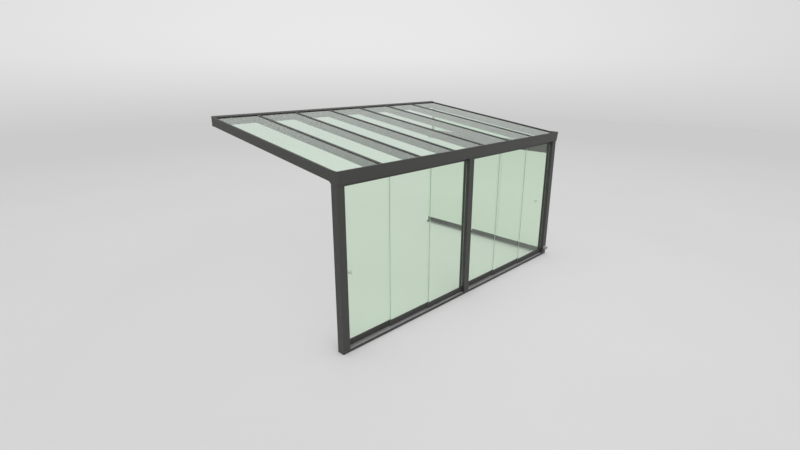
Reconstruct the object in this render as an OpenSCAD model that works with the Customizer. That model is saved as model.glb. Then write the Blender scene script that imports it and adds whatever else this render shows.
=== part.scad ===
// Lean-to patio roof: glazed aluminium canopy on three front posts and a wall plate,
// with two bays of sliding glass at the front and a sliding glass wall on the right side.
// The origin is the centre of the centre post's foot, on the ground.
// +X runs along the gutter, +Y runs towards the house, +Z is up.

/* [Overall] */
// Width along the gutter, over the outer posts
roof_w = 5000; // [3600:100:5400]
// Projection from the front of the posts to the house wall
roof_d = 3000; // [2400:100:3400]
// Height of the underside of the gutter above the ground
post_h = 2180; // [2000:10:2400]
// Pitch of the glass roof in degrees
pitch = 7.85; // [6:0.05:9]

/* [Posts and gutter] */
// Side of the square posts
post_w = 110; // [100:2:120]
// Wall thickness of the posts
post_wall = 3; // [2:0.5:4]
// Thickness of the plate that closes the foot of each post
foot_t = 10; // [8:1:15]
// Height of the gutter
gutter_h = 162; // [150:1:170]
// Wall thickness of the gutter
gutter_wall = 3; // [2:0.5:4]

/* [Roof] */
// Number of glass panes in the roof
pane_count = 7; // [5:1:7]
// Width of the rafters
rafter_w = 60; // [50:2:70]
// Depth of the rafters from the glass down, with the gasket that the glass lies on
rafter_h = 112; // [100:1:120]
// Thickness of the roof glass
roof_glass = 9; // [8:0.5:10]
// Height of the wall plate
plate_h = 152; // [148:1:160]

/* [Sliding walls] */
// Thickness of the sliding glass
wall_glass = 8; // [6:1:8]
// Distance from one sliding track to the next
track_pitch = 17; // [17:0.5:18]
// Height of the top of the shoe under each glass sheet
shoe_top = 116; // [100:1:120]
// Overlap of neighbouring sheets
overlap = 25; // [20:1:40]

/* [Hidden] */
$fn = 48;

frame_colour = [0.28, 0.28, 0.27];
glass_colour = [0.72, 0.85, 0.74, 0.4];
shoe_colour = [0.26, 0.26, 0.26];
knob_colour = [0.62, 0.62, 0.63];
spout_colour = [0.55, 0.55, 0.56];

half_w = roof_w / 2;
half_post = post_w / 2;
front_y = -half_post;
house_y = front_y + roof_d;
clear = 6;                                  // gap between a moving sheet and what stands beside it

// Roof plane: the top of the rafter covers, as a height over each y
cover_drop = 25;                            // cover plane at the front, below the gutter's lip
cover_z = post_h + gutter_h - cover_drop;
function slope_rise(y) = (y - front_y) * tan(pitch);
function level(drop) = cover_z - drop / cos(pitch);
cover_t = 5;
side_rise = 6;                              // the roof's side edges stand this much over the covers
seal_t = 1;                                 // room for the seal between a cover and the glass
gasket_t = 3;                               // room for the gasket that the glass lies on
glass_top = cover_t + seal_t;
glass_bottom = glass_top + roof_glass;
rafter_top = glass_bottom + gasket_t;
rafter_bottom = cover_t + roof_glass + rafter_h;

// A bar along the slope with upright ends, between two levels measured down from the covers
module slope_bar(x0, x1, y0, y1, top, bottom) {
    translate([x0, 0, 0])
        rotate([90, 0, 90])
            linear_extrude(x1 - x0)
                polygon([
                    [y0, level(bottom) + slope_rise(y0)],
                    [y1, level(bottom) + slope_rise(y1)],
                    [y1, level(top) + slope_rise(y1)],
                    [y0, level(top) + slope_rise(y0)]
                ]);
}

// A profile drawn in the Y-Z plane and run along X
module run_x(x0, x1) {
    translate([x0, 0, 0])
        rotate([90, 0, 90])
            linear_extrude(x1 - x0)
                children();
}

module box(lo, hi) {
    translate(lo)
        cube(hi - lo);
}

// ---- Posts: square tubes with a closed foot ----
module post(x) {
    inner = post_w - 2 * post_wall;
    difference() {
        translate([x - half_post, front_y, 0])
            cube([post_w, post_w, post_h]);
        translate([x - inner / 2, front_y + post_wall, foot_t])
            cube([inner, inner, post_h]);
    }
}

post_x = half_w - half_post;
module post_left() { color(frame_colour) post(-post_x); }
module post_center() { color(frame_colour) post(0); }

outlet_r = 30;
outlet_z = 132;
module post_right() {
    color(frame_colour)
        difference() {
            post(post_x);
            translate([post_x, front_y - 1, outlet_z])
                rotate([-90, 0, 0])
                    cylinder(h = post_wall + 2, r = outlet_r);
        }
}

// Short round spout that lets the rain water out of the front of the right post
spout_len = 62;
spout_wall = 2;
spout_inside = 3;                           // length of the spout behind the post's wall
module drain_spout() {
    collar = 4;
    color(spout_colour)
        translate([post_x, front_y + post_wall + spout_inside, outlet_z])
            rotate([90, 0, 0])
                difference() {
                    union() {
                        cylinder(h = spout_len, r = outlet_r - 0.3);
                        translate([0, 0, post_wall + spout_inside])
                            cylinder(h = collar, r = outlet_r + collar);
                    }
                    translate([0, 0, -1])
                        cylinder(h = spout_len + 2, r = outlet_r - spout_wall);
                }
}

// ---- Gutter ----
gutter_z = post_h;
lip_z = gutter_z + gutter_h;
lean_low = 12;                              // how far the gutter's foot stands in front of the posts
lean_high = 30;                             // how far its lip stands in front of them
lip_w = 24;
gutter_back = front_y + 143;
gutter_foot = front_y + 104;
back_foot_z = gutter_z + 28;
back_top_z = gutter_z + 115;
end_t = 3;

module gutter() {
    w = gutter_wall;
    color(frame_colour)
        run_x(-half_w + end_t, half_w - end_t)
            polygon([
                [front_y - lean_low, gutter_z],
                [gutter_foot, gutter_z],
                [gutter_back, back_foot_z],
                [gutter_back, back_top_z],
                [gutter_back - w, back_top_z],
                [gutter_back - w, back_foot_z + w / 2],
                [gutter_foot - w / 2, gutter_z + w],
                [front_y - lean_low + w, gutter_z + w],
                [front_y - lean_high + w, lip_z - w],
                [front_y - lean_high + lip_w - w, lip_z - w],
                [front_y - lean_high + lip_w - w, lip_z - 4 * w],
                [front_y - lean_high + lip_w, lip_z - 4 * w],
                [front_y - lean_high + lip_w, lip_z],
                [front_y - lean_high, lip_z]
            ]);
}

module gutter_end(x0) {
    run_x(x0, x0 + end_t)
        polygon([
            [front_y - lean_low, gutter_z],
            [gutter_foot, gutter_z],
            [gutter_back, back_foot_z],
            [gutter_back, lip_z],
            [front_y - lean_high, lip_z]
        ]);
}

module gutter_ends() {
    color(frame_colour)
        for (x0 = [-half_w, half_w - end_t])
            gutter_end(x0);
}

// ---- Wall plate ----
plate_d = 60;
plate_front = house_y - plate_d;
plate_low = level(rafter_bottom) + slope_rise(plate_front);
plate_top = plate_low + plate_h;
plate_t = 4;
pocket_d = 30;                              // depth of the slot that takes the glass
screw_r = 5.5;
plate_brow = level(0) + slope_rise(plate_front) + 7;   // front edge of the weathered top
bay_w = (roof_w - rafter_w) / pane_count;
module wall_plate() {
    shelf = level(rafter_top) + slope_rise(plate_front);
    nose = level(cover_t) + slope_rise(plate_front) + 2;
    rise = slope_rise(pocket_d) - slope_rise(0);
    color(frame_colour)
        difference() {
            run_x(-half_w + end_t, half_w - end_t)
                polygon([
                    [plate_front, plate_low],
                    [plate_front + plate_t, plate_low],
                    [plate_front + plate_t, shelf - plate_t],
                    [house_y - plate_t, shelf - plate_t],
                    [house_y - plate_t, plate_low],
                    [house_y, plate_low],
                    [house_y, plate_top],
                    [plate_front, plate_brow],
                    [plate_front, nose],
                    [plate_front + pocket_d, nose + rise],
                    [plate_front + pocket_d, shelf + rise],
                    [plate_front, shelf]
                ]);
            for (i = [0 : pane_count - 1])
                translate([(i - (pane_count - 1) / 2) * bay_w, house_y - plate_t - 1, plate_low + 30])
                    rotate([-90, 0, 0])
                        cylinder(h = plate_t + 2, r = screw_r);
        }
}

module wall_plate_ends() {
    color(frame_colour)
        for (x0 = [-half_w, half_w - end_t])
            run_x(x0, x0 + end_t)
                polygon([
                    [plate_front, plate_low],
                    [house_y, plate_low],
                    [house_y, plate_top],
                    [plate_front, plate_brow]
                ]);
}

// ---- Rafters ----
rib_w = 10;                                 // rib between the panes that carries the cover
rafter_wall = 3;
eave_y = front_y + 45;                      // lower edge of the panes, over the gutter
cover_y = eave_y - 5;
fin_w = 12;
function rafter_x(i) = -half_w + rafter_w / 2 + i * bay_w;

module rafter(i) {
    x = rafter_x(i);
    half = rafter_w / 2;
    color(frame_colour)
        union() {
            difference() {
                slope_bar(x - half, x + half, gutter_back, plate_front, rafter_top, rafter_bottom);
                slope_bar(x - half + rafter_wall, x + half - rafter_wall,
                    gutter_back - 1, plate_front + 1,
                    rafter_top + rafter_wall, rafter_bottom - rafter_wall);
            }
            slope_bar(x - rib_w / 2, x + rib_w / 2, gutter_back, plate_front, cover_t, rafter_top + 1);
        }
}

module rafter_1() { rafter(1); }
module rafter_2() { rafter(2); }
module rafter_3() { rafter(3); }
module rafter_4() { rafter(4); }
module rafter_5() { rafter(5); }
module rafter_6() { rafter(6); }

// The end rafters have a fin up their outer side that closes the edge of the roof
module end_rafter() {
    x = -half_w;
    color(frame_colour)
        union() {
            difference() {
                slope_bar(x, x + rafter_w, gutter_back, plate_front, rafter_top, rafter_bottom);
                slope_bar(x + rafter_wall, x + rafter_w - rafter_wall, gutter_back - 1, plate_front + 1,
                    rafter_top + rafter_wall, rafter_bottom - rafter_wall);
            }
            slope_bar(x, x + fin_w, gutter_back, plate_front, -side_rise, rafter_top + 1);
            slope_bar(x + end_t, x + fin_w, cover_y, gutter_back + 1, -side_rise, glass_bottom);
        }
}

module end_rafter_left() { end_rafter(); }
module end_rafter_right() { mirror([1, 0, 0]) end_rafter(); }

// Pressed covers that hold the panes down: wide ones over the rafters, narrow ones along the sides
cover_w = 50;
side_cover_w = 18;
module rafter_covers() {
    color(frame_colour) {
        for (i = [1 : pane_count - 1])
            slope_bar(rafter_x(i) - cover_w / 2, rafter_x(i) + cover_w / 2,
                cover_y, plate_front, 0, cover_t);
        for (x0 = [-half_w + fin_w, half_w - fin_w - side_cover_w])
            slope_bar(x0, x0 + side_cover_w, cover_y, plate_front, -side_rise, cover_t);
    }
}

// ---- Roof glass ----
pane_gap = 3;
module roof_panes() {
    pane_end = plate_front + pocket_d - 8;
    color(glass_colour)
        for (i = [0 : pane_count - 1]) {
            x0 = i == 0 ? -half_w + fin_w + pane_gap : rafter_x(i) + rib_w / 2 + pane_gap;
            x1 = i == pane_count - 1 ? half_w - fin_w - pane_gap
                : rafter_x(i + 1) - rib_w / 2 - pane_gap;
            slope_bar(x0, x1, eave_y, pane_end, glass_top, glass_bottom);
        }
}

// ---- Tracks ----
// A track's cross-section runs inwards from the outer face of the posts
lip_top = 38;
floor_top = 27;
rib_top = 31;
web = 3;
first_track = 56;                           // outer face of the posts to the first sheet's middle
function track_at(k) = first_track + k * track_pitch;

// Floor rail, drawn along +X with its outer face on y = 0
module floor_rail(length) {
    box([0, 0, 0], [length, web, lip_top]);
    box([0, post_w - web, 0], [length, post_w, lip_top]);
    box([0, 0, floor_top - web], [length, post_w, floor_top]);
    for (k = [0 : 2])
        box([0, track_at(k) - web / 2, 0], [length, track_at(k) + web / 2, rib_top]);
}

// Guide rail for the tops of the sheets, hanging from z = 0
guide_h = 40;
guide_wall = 1.6;
module guide_rail(length) {
    outer = track_at(0) - track_pitch / 2 - guide_wall / 2;
    inner = track_at(2) + track_pitch / 2 + guide_wall / 2;
    box([0, outer, -web], [length, inner, 0]);
    for (k = [0 : 3])
        box([0, outer + k * track_pitch, -guide_h], [length, outer + k * track_pitch + guide_wall, 0]);
}

front_bay = half_w - post_w - half_post;    // clear width between two front posts
side_y0 = front_y + post_w;
side_len = house_y - side_y0;
beam_h = 110;
beam_z = 1995;                              // underside of the beam over the side wall

// Places its children on the right side: +X of the child runs towards the house
module on_side() {
    translate([half_w, side_y0, 0])
        rotate([0, 0, 90])
            children();
}

module rail_front_left() {
    color(frame_colour)
        translate([-half_w + post_w, front_y, 0])
            floor_rail(front_bay);
}

module rail_front_right() {
    color(frame_colour)
        translate([half_post, front_y, 0])
            floor_rail(front_bay);
}

module rail_side() {
    color(frame_colour)
        on_side()
            floor_rail(side_len);
}

module top_rails() {
    color(frame_colour) {
        for (x0 = [-half_w + post_w, half_post])
            translate([x0, front_y, post_h])
                guide_rail(front_bay);
        on_side()
            translate([0, 0, beam_z])
                guide_rail(side_len);
    }
}

// ---- Side wall over the sliding sheets ----
module side_beam() {
    color(frame_colour)
        difference() {
            box([half_w - post_w, side_y0, beam_z], [half_w, house_y, beam_z + beam_h]);
            box([half_w - post_w + post_wall, side_y0 - 1, beam_z + post_wall],
                [half_w - post_wall, house_y + 1, beam_z + beam_h - post_wall]);
        }
}

// The wedge between the beam and the end rafter: a slim frame with one sheet of glass
wedge_x = half_w - rafter_w;
wedge_d = 40;
wedge_bar = 12;
wedge_wall_bar = 35;
wedge_y0 = gutter_back;
module wedge_outline(inset_low, inset_top, inset_front, inset_wall) {
    y0 = wedge_y0 + inset_front;
    y1 = plate_front - inset_wall;
    polygon([
        [y0, beam_z + beam_h + inset_low],
        [y1, beam_z + beam_h + inset_low],
        [y1, level(rafter_bottom) + slope_rise(y1) - inset_top],
        [y0, level(rafter_bottom) + slope_rise(y0) - inset_top]
    ]);
}

module wedge_frame() {
    color(frame_colour)
        difference() {
            run_x(wedge_x + 10, wedge_x + 10 + wedge_d)
                wedge_outline(0, 0, 0, 0);
            run_x(wedge_x + 9, wedge_x + 11 + wedge_d)
                wedge_outline(wedge_bar, wedge_bar, wedge_bar, wedge_wall_bar);
        }
}

module wedge_glass() {
    middle = wedge_x + 10 + wedge_d / 2;
    color(glass_colour)
        run_x(middle - wall_glass / 2, middle + wall_glass / 2)
            wedge_outline(wedge_bar, wedge_bar, wedge_bar, wedge_wall_bar);
}

// ---- Sliding sheets ----
// A bay is three sheets on three tracks. Sheet 0 stands nearest the start of the bay.
shoe_w = 12;
shoe_low = 36;
slot_z = 52;
top_engage = 25;                            // how far the glass reaches up into the guide rail
roller_r = 9;
roller_inset = 80;
function sheet_w(bay) = (bay - 2 * clear + 2 * overlap) / 3;
function sheet_x(bay, n) = clear + n * (sheet_w(bay) - overlap);

module sheet(bay, n, track, guide_z) {
    translate([sheet_x(bay, n), track_at(track) - wall_glass / 2, slot_z])
        cube([sheet_w(bay), wall_glass, guide_z - guide_h + top_engage - slot_z]);
}

// Shoe profile under a sheet, with a slot for the glass and two rollers
module shoe(bay, n, track) {
    w = sheet_w(bay);
    translate([sheet_x(bay, n), track_at(track), 0]) {
        difference() {
            box([0, -shoe_w / 2, shoe_low], [w, shoe_w / 2, shoe_top]);
            box([-1, -wall_glass / 2, slot_z], [w + 1, wall_glass / 2, shoe_top + 1]);
        }
        for (x = [roller_inset, w - roller_inset])
            translate([x, 0, rib_top + 0.3 + roller_r])
                rotate([90, 0, 0])
                    cylinder(h = 6, r = roller_r, center = true);
    }
}

// Round turned knob: a rose on the glass, a neck and a rounded grip, along +Z from z = 0
knob_r = 25;
knob_z = 1020;
knob_inset = 124;
module knob() {
    rotate_extrude()
        polygon([
            [0, 0], [20, 0], [20, 4], [9, 6], [9, 20], [20, 26], [knob_r, 32],
            [knob_r, 40], [22, 45], [14, 47], [0, 47]
        ]);
}

module bay_left() { translate([-half_w + post_w, front_y, 0]) children(); }
module bay_right() { translate([half_post, front_y, 0]) children(); }

// Left bay: the sheet beside the left post runs on the inner track
module sheet_left_outer() { color(glass_colour) bay_left() sheet(front_bay, 0, 2, post_h); }
module shoe_left_outer() { color(shoe_colour) bay_left() shoe(front_bay, 0, 2); }
module sheet_left_middle() { color(glass_colour) bay_left() sheet(front_bay, 1, 1, post_h); }
module shoe_left_middle() { color(shoe_colour) bay_left() shoe(front_bay, 1, 1); }
module knob_left() {
    color(knob_colour)
        bay_left()
            translate([clear + knob_inset, track_at(2) + wall_glass / 2, knob_z])
                rotate([-90, 0, 0])
                    knob();
}

// Right bay: the sheet beside the centre post runs on the inner track
module sheet_right_inner() { color(glass_colour) bay_right() sheet(front_bay, 0, 2, post_h); }
module shoe_right_inner() { color(shoe_colour) bay_right() shoe(front_bay, 0, 2); }
module sheet_right_middle() { color(glass_colour) bay_right() sheet(front_bay, 1, 1, post_h); }
module shoe_right_middle() { color(shoe_colour) bay_right() shoe(front_bay, 1, 1); }
module knob_right() {
    color(knob_colour)
        bay_right()
            translate([clear + knob_inset, track_at(2) + wall_glass / 2, knob_z])
                rotate([-90, 0, 0])
                    knob();
}

// Side wall: the sheet beside the corner post runs on the inner track
module sheet_side_front() { color(glass_colour) on_side() sheet(side_len, 0, 2, beam_z); }
module shoe_side_front() { color(shoe_colour) on_side() shoe(side_len, 0, 2); }
module sheet_side_middle() { color(glass_colour) on_side() sheet(side_len, 1, 1, beam_z); }
module shoe_side_middle() { color(shoe_colour) on_side() shoe(side_len, 1, 1); }
module knob_side() {
    color(knob_colour)
        on_side()
            translate([clear + knob_inset, track_at(2) + wall_glass / 2, knob_z])
                rotate([-90, 0, 0])
                    knob();
}

// The sheets that stay parked, on the outer tracks: left of the centre and right posts and at the house
module fixed_sheets() {
    color(glass_colour) {
        bay_left() sheet(front_bay, 2, 0, post_h);
        bay_right() sheet(front_bay, 2, 0, post_h);
        on_side() sheet(side_len, 2, 0, beam_z);
    }
}

module fixed_shoes() {
    color(shoe_colour) {
        bay_left() shoe(front_bay, 2, 0);
        bay_right() shoe(front_bay, 2, 0);
        on_side() shoe(side_len, 2, 0);
    }
}

// ---- Drawing ----
post_left();
post_center();
post_right();
gutter();
gutter_ends();
wall_plate();
wall_plate_ends();
end_rafter_left();
end_rafter_right();
rafter_1();
rafter_2();
rafter_3();
rafter_4();
rafter_5();
rafter_6();
rafter_covers();
roof_panes();
drain_spout();
rail_front_left();
rail_front_right();
rail_side();
top_rails();
side_beam();
wedge_frame();
wedge_glass();
fixed_sheets();
fixed_shoes();
sheet_left_outer();
shoe_left_outer();
knob_left();
sheet_left_middle();
shoe_left_middle();
sheet_right_inner();
shoe_right_inner();
knob_right();
sheet_right_middle();
shoe_right_middle();
sheet_side_front();
shoe_side_front();
knob_side();
sheet_side_middle();
shoe_side_middle();
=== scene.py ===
"""Looks of the patio roof: a glazed aluminium lean-to with sliding glass at the front and one side."""

import math

import bmesh
import bpy
import numpy as np
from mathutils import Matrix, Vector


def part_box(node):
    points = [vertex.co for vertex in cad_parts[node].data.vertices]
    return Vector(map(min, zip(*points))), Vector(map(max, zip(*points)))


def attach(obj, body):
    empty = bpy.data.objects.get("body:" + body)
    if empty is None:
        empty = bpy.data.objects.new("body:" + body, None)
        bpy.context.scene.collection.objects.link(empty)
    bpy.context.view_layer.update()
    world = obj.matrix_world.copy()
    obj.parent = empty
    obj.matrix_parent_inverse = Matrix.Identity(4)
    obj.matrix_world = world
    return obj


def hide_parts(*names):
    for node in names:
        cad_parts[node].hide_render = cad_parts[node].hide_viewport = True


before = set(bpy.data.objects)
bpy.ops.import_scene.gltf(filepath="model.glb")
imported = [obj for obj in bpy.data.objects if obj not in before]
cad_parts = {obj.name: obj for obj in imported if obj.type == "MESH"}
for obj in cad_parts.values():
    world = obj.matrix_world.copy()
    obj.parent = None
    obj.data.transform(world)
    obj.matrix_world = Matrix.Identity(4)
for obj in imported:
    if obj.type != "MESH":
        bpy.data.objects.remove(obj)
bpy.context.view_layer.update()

# ---- Camera -----------------------------------------------------------------------------
# The camera stands off the open left corner, a little above the roof's eaves, and looks
# down along the diagonal of the roof.
LOOKS_DOWN = 17.966
TURNED_RIGHT = 45.046
lens_data = bpy.data.cameras.new("camera")
lens_data.sensor_width = 36.0
lens_data.lens = 21.758
lens_data.clip_end = 500.0
camera = bpy.data.objects.new("camera", lens_data)
camera.location = (-5.7315, -4.2798, 3.4289)
camera.rotation_euler = (math.radians(90 - LOOKS_DOWN), 0.0, math.radians(-TURNED_RIGHT))
bpy.context.scene.collection.objects.link(camera)
bpy.context.scene.camera = camera
bpy.context.scene.view_settings.view_transform = "Standard"


# ---- Studio -----------------------------------------------------------------------------
# A pale round floor and a far backdrop that lightens upwards. An even dome and a soft sun
# light the object so that a colour renders about as it is written.
def join(tree, value, socket):
    """Links a socket into an input, or sets the input to a plain value."""
    if isinstance(value, bpy.types.NodeSocket):
        tree.links.new(value, socket)
    else:
        socket.default_value = value


def add(tree, kind, choices=None, **inputs):
    """Adds one shader node. Choices are its own settings, and inputs are values or sockets."""
    made = tree.nodes.new("ShaderNode" + kind)
    for name, value in (choices or {}).items():
        setattr(made, name, value)
    for name, value in inputs.items():
        join(tree, value, made.inputs[name.replace("_", " ")])
    return made


def spread(tree, value, low, high, to_low=0.0, to_high=1.0):
    """Carries a value from the range low..high to to_low..to_high, and holds it there."""
    made = add(tree, "MapRange", Value=value)
    for name, number in zip(("From Min", "From Max", "To Min", "To Max"), (low, high, to_low, to_high)):
        made.inputs[name].default_value = number
    return made.outputs["Result"]


def sum_of(tree, operation, first, second):
    """One sum on two values, such as ADD, MULTIPLY or MAXIMUM."""
    made = tree.nodes.new("ShaderNodeMath")
    made.operation = operation
    join(tree, first, made.inputs[0])
    join(tree, second, made.inputs[1])
    return made.outputs[0]


def ramp(tree, value, stops):
    """A run of greys: each stop is a place from 0 to 1 and the grey there."""
    made = add(tree, "ValToRGB", Fac=value)
    line = made.color_ramp
    line.elements[0].position, line.elements[1].position = stops[0][0], stops[-1][0]
    for place, _ in stops[1:-1]:
        line.elements.new(place)
    for element, (_, grey) in zip(line.elements, stops):
        element.color = (grey, grey, grey, 1.0)
    return made.outputs["Color"]


def blend(tree, factor, first, second):
    """Mixes two colours by a factor."""
    made = add(tree, "Mix", {"data_type": "RGBA"})
    for socket, value in zip((0, 6, 7), (factor, first, second)):
        join(tree, value, made.inputs[socket])
    return made.outputs[2]


def seen_rays(tree):
    """1 for rays that come from the camera, a mirror-like surface or through glass."""
    path = add(tree, "LightPath").outputs
    seen = sum_of(tree, "MAXIMUM", path["Is Camera Ray"], path["Is Glossy Ray"])
    return sum_of(tree, "MAXIMUM", seen, path["Is Transmission Ray"])


# The floor's greys near the object and far out. Round the object, where it takes part of the
# dome's light, painted light lifts the floor by a share that ends over the next few metres: it
# fills the object's shade.
FLOOR_NEAR = 0.677
FLOOR_FAR = 0.597
FLOOR_FADE = (6.0, 19.0)
FLOOR_PAINTED_LIGHT = 1.09
FLOOR_PAINTED_LIGHT_ENDS = (1.5, 5.5)
# The dome's strength, and what the sun adds to it on level ground
DOME = 0.86
SUN = 0.14

world = bpy.data.worlds.new("studio")
world.use_nodes = True
bpy.context.scene.world = world
air = world.node_tree
air.nodes.clear()
aim = add(air, "TexCoord").outputs["Generated"]
height = add(air, "SeparateXYZ", Vector=aim).outputs["Z"]
# The backdrop's grey by the height of the view direction: the floor's far edge, a light band
# over it, and a run that lightens again overhead
BACKDROP = [
    (-0.11, FLOOR_FAR), (-0.09, 0.61), (-0.059, 0.66), (-0.016, 0.745), (0.018, 0.805),
    (0.06, 0.815), (0.10, 0.81), (0.16, 0.80), (0.25, 0.81), (0.34, 0.86), (0.44, 0.94),
]
BACKDROP_LOW, BACKDROP_HIGH = BACKDROP[0][0], BACKDROP[-1][0]
BACKDROP_SPAN = BACKDROP_HIGH - BACKDROP_LOW
backdrop_grey = ramp(air, spread(air, height, BACKDROP_LOW, BACKDROP_HIGH), [
    ((rise - BACKDROP_LOW) / BACKDROP_SPAN, grey) for rise, grey in BACKDROP
])
# Over the floor's edge it darkens to both sides, by SIDE_FALL times the square of
# |s + SIDE_SHIFT| / SIDE_REACH, with s the part of the direction along SIDEWAYS. This sets in
# over the heights of FLOOR_EDGE.
SIDEWAYS = (0.7065, -0.7077, 0.0)
SIDE_SHIFT = 0.1
SIDE_REACH = 0.8
SIDE_FALL = 0.17
FLOOR_EDGE = (-0.08, 0.02)
sideways = add(air, "VectorMath", {"operation": "DOT_PRODUCT"}, Vector=aim)
sideways.inputs[1].default_value = SIDEWAYS
off_middle = sum_of(air, "ADD", sideways.outputs["Value"], SIDE_SHIFT)
off_middle = spread(air, sum_of(air, "ABSOLUTE", off_middle, 0.0), 0.0, SIDE_REACH)
fall = sum_of(air, "MULTIPLY", sum_of(air, "POWER", off_middle, 2.0), SIDE_FALL)
fall = sum_of(air, "MULTIPLY", fall, spread(air, height, *FLOOR_EDGE))
backdrop_tone = blend(air, fall, backdrop_grey, (0.0, 0.0, 0.0, 1.0))
dome_light = add(air, "Background", Color=(1.0, 1.0, 1.0, 1.0), Strength=DOME)
backdrop = add(air, "Background", Color=backdrop_tone, Strength=1.0)
sky = add(air, "MixShader", Fac=seen_rays(air))
air.links.new(dome_light.outputs[0], sky.inputs[1])
air.links.new(backdrop.outputs[0], sky.inputs[2])
air.links.new(sky.outputs[0], add(air, "OutputWorld").inputs["Surface"])

SUN_HEIGHT = math.radians(52)
SUN_WIDTH = math.radians(50)
SUN_TURN = math.radians(-25)
sun_data = bpy.data.lights.new("soft_sun", "SUN")
sun_data.energy = SUN * math.pi / math.sin(SUN_HEIGHT)
sun_data.angle = SUN_WIDTH
sun = bpy.data.objects.new("soft_sun", sun_data)
sun.rotation_euler = (math.pi / 2 - SUN_HEIGHT, 0.0, SUN_TURN)
bpy.context.scene.collection.objects.link(sun)


def new_material(name):
    """An empty material and its Principled shader: the material, its node tree and the shader."""
    material = bpy.data.materials.new(name)
    material.use_nodes = True
    tree = material.node_tree
    tree.nodes.clear()
    shader = add(tree, "BsdfPrincipled")
    tree.links.new(shader.outputs[0], add(tree, "OutputMaterial").inputs["Surface"])
    return material, tree, shader


def floor_paint():
    """Pale matt floor, lifted by painted light round the object and darker far out, with the faintest
    clouds.
    """
    material, tree, shader = new_material("floor_paint")
    place = add(tree, "TexCoord").outputs["Object"]
    distance = add(tree, "VectorMath", {"operation": "LENGTH"}, Vector=place).outputs["Value"]
    clouds = add(tree, "TexNoise", Vector=place, Scale=0.35, Detail=2.0).outputs["Fac"]
    near = spread(tree, clouds, 0.3, 0.7, FLOOR_NEAR * 0.99, FLOOR_NEAR * 1.01)
    # Painted light: the grey is lifted round the object, where the object's shade would fall
    near = sum_of(tree, "MULTIPLY", near, spread(tree, distance, *FLOOR_PAINTED_LIGHT_ENDS, FLOOR_PAINTED_LIGHT, 1.0))
    fade = spread(tree, distance, *FLOOR_FADE)
    grey = add(tree, "Mix", Factor=fade)
    join(tree, near, grey.inputs["A"])
    grey.inputs["B"].default_value = FLOOR_FAR
    join(tree, grey.outputs["Result"], shader.inputs["Base Color"])
    shader.inputs["Roughness"].default_value = 0.95
    shader.inputs["Specular IOR Level"].default_value = 0.0
    return material


def skin(grid, closed_rows=False, capped=True):
    """Faces over a grid of points, rows by columns, whose columns close on themselves.
    Face (r, c) joins the points (r, c), (r, c + 1), (r + 1, c + 1) and (r + 1, c)."""
    rows, columns = grid.shape[:2]
    index = np.arange(rows * columns).reshape(rows, columns)
    here = index if closed_rows else index[:-1]
    beyond = np.roll(index, -1, 0) if closed_rows else index[1:]
    corners = [here, np.roll(here, -1, 1), np.roll(beyond, -1, 1), beyond]
    faces = np.stack(corners, -1).reshape(-1, 4).tolist()
    if capped and not closed_rows:
        faces += [index[0][::-1].tolist(), index[-1].tolist()]
    return grid.reshape(-1, 3), faces


def build_mesh(name, parts):
    """Joins parts, each an array of points and a list of faces, into one mesh. Doubled points
    are merged and the faces are turned outwards."""
    points = np.concatenate([part[0] for part in parts])
    starts = np.cumsum([0] + [len(part[0]) for part in parts])
    faces = [
        [corner + start for corner in face] for start, part in zip(starts, parts) for face in part[1]
    ]
    mesh = bpy.data.meshes.new(name)
    mesh.from_pydata(points.tolist(), [], faces)
    shape = bmesh.new()
    shape.from_mesh(mesh)
    bmesh.ops.remove_doubles(shape, verts=shape.verts, dist=1e-6)
    bmesh.ops.recalc_face_normals(shape, faces=shape.faces)
    shape.to_mesh(mesh)
    shape.free()
    mesh.shade_smooth()
    mesh.set_sharp_from_angle(angle=math.radians(32))
    return mesh


FLOOR_SIDES = 96
FLOOR_DROP = 0.002
floor_rings = np.array([0.0, 4.0, 8.0, 12.0, 18.0, 24.0, 29.5])
floor_turn = np.arange(FLOOR_SIDES) * (2 * math.pi / FLOOR_SIDES)
floor_grid = np.stack([
    np.outer(floor_rings, np.cos(floor_turn)),
    np.outer(floor_rings, np.sin(floor_turn)),
    np.full((len(floor_rings), FLOOR_SIDES), -FLOOR_DROP),
], -1)
floor = bpy.data.objects.new("floor", build_mesh("floor", [skin(floor_grid, capped=False)]))
floor.data.materials.append(floor_paint())
bpy.context.scene.collection.objects.link(floor)


# ---- Posts ------------------------------------------------------------------------------
# Three square tubes of extruded aluminium, 110 mm with 3 mm walls, sawn square and set on
# their footings. They are powder coated in fine-textured anthracite, as the whole frame is.
COAT = (0.0400, 0.0395, 0.0372, 1.0)
DUST = (0.30, 0.285, 0.26, 1.0)
PEEL_SIZE = 0.0011


def shade(colour, share):
    """The same colour, lighter or darker by a share."""
    return tuple(part * share for part in colour[:3]) + (1.0,)


def facing_up(tree):
    """1 on surfaces that face the sky, 0 on upright and hanging ones."""
    normal = add(tree, "NewGeometry").outputs["Normal"]
    return spread(tree, add(tree, "SeparateXYZ", Vector=normal).outputs["Z"], 0.75, 0.98)


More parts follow.
